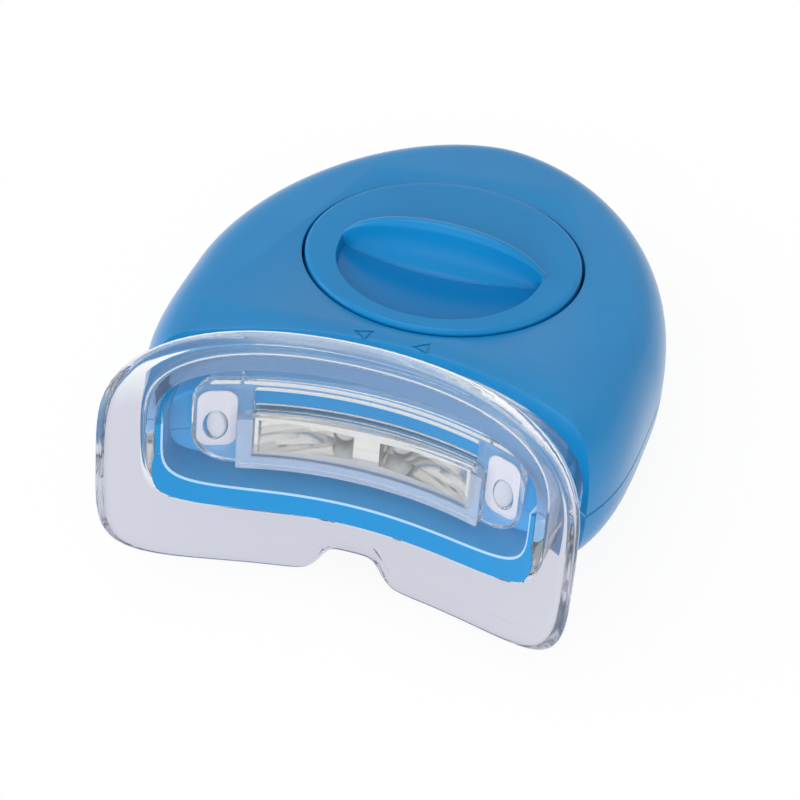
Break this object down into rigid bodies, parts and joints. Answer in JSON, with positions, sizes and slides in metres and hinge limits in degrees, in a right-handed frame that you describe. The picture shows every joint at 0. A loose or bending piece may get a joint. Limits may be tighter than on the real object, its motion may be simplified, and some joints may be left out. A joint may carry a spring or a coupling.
{
  "type": "teeth whitening lamp",
  "caption": "Handheld LED teeth whitening lamp: rounded split case, clear curved mouthpiece with lip shield, bayonet battery cover with a finger fin, power button below.",
  "frame": {"origin": "centre of the object's bounding box in X and Y, at the lowest point of the lip shield", "axes": "+X to the right seen from the user's mouth, -Y towards the mouthpiece, +Z towards the battery cover"},
  "size_m": [0.06, 0.0763, 0.0345],
  "materials": {
    "blue_case": "satin-gloss moulded blue plastic",
    "blue_cover": "satin-gloss moulded blue plastic, softly polished fin",
    "blue_button": "satin moulded blue plastic",
    "clear_mouthpiece": "clear polished moulded plastic with a faint cool tint",
    "clear_window": "clear polished moulded plastic",
    "clear_pin": "clear plastic, slightly frosted at its rounded end",
    "mirror_chrome": "vacuum-metallised plastic",
    "led_lens": "water-clear epoxy",
    "cell_steel": "bare nickel-plated steel can",
    "contact_nickel": "nickel-plated spring strip",
    "screw_zinc": "zinc-plated steel",
    "board_laminate": "green solder mask on glass laminate",
    "chip_black": "black moulded epoxy",
    "resistor_tan": "tan lacquer",
    "switch_grey": "grey moulded plastic",
    "plunger_black": "black moulded plastic"
  },
  "bodies": {
    "case": {"battery_side_shell": "blue_case", "button_side_shell": "blue_case", "battery_cell_lower": "cell_steel", "battery_cell_upper": "cell_steel", "negative_contact_spring": "contact_nickel", "positive_contact_clip": "contact_nickel", "circuit_board": "board_laminate", "timer_chip": "chip_black", "resistor_1": "resistor_tan", "resistor_2": "resistor_tan", "switch_body": "switch_grey", "led_left": "led_lens", "led_right": "led_lens", "reflector": "mirror_chrome", "light_window": "clear_window", "window_pin_left": "clear_pin", "window_pin_right": "clear_pin", "mouthpiece": "clear_mouthpiece", "shell_screw_1": "screw_zinc", "shell_screw_2": "screw_zinc", "shell_screw_3": "screw_zinc", "board_screw_1": "screw_zinc", "board_screw_2": "screw_zinc"},
    "cover": {"battery_cover": "blue_cover"},
    "button": {"power_button": "blue_button"},
    "plunger": {"switch_plunger": "plunger_black"}
  },
  "joints": [
    {"name": "cover_turn", "type": "hinge", "parent": "case", "child": "cover", "pos_m": [0, 0.00523, 0.025], "axis": [0, 0, 1], "range_deg": [0, 24]},
    {"name": "button_press", "type": "slide", "parent": "case", "child": "button", "axis": [0, 0, 1], "range_m": [0, 0.0004], "stiffness_N_per_m": 1500},
    {"name": "plunger_press", "type": "slide", "parent": "case", "child": "plunger", "axis": [0, 0, 1], "range_m": [0, 0.0004]}
  ],
  "couplings": [
    {"joint": "plunger_press", "follows": "button_press", "ratio": 1}
  ]
}
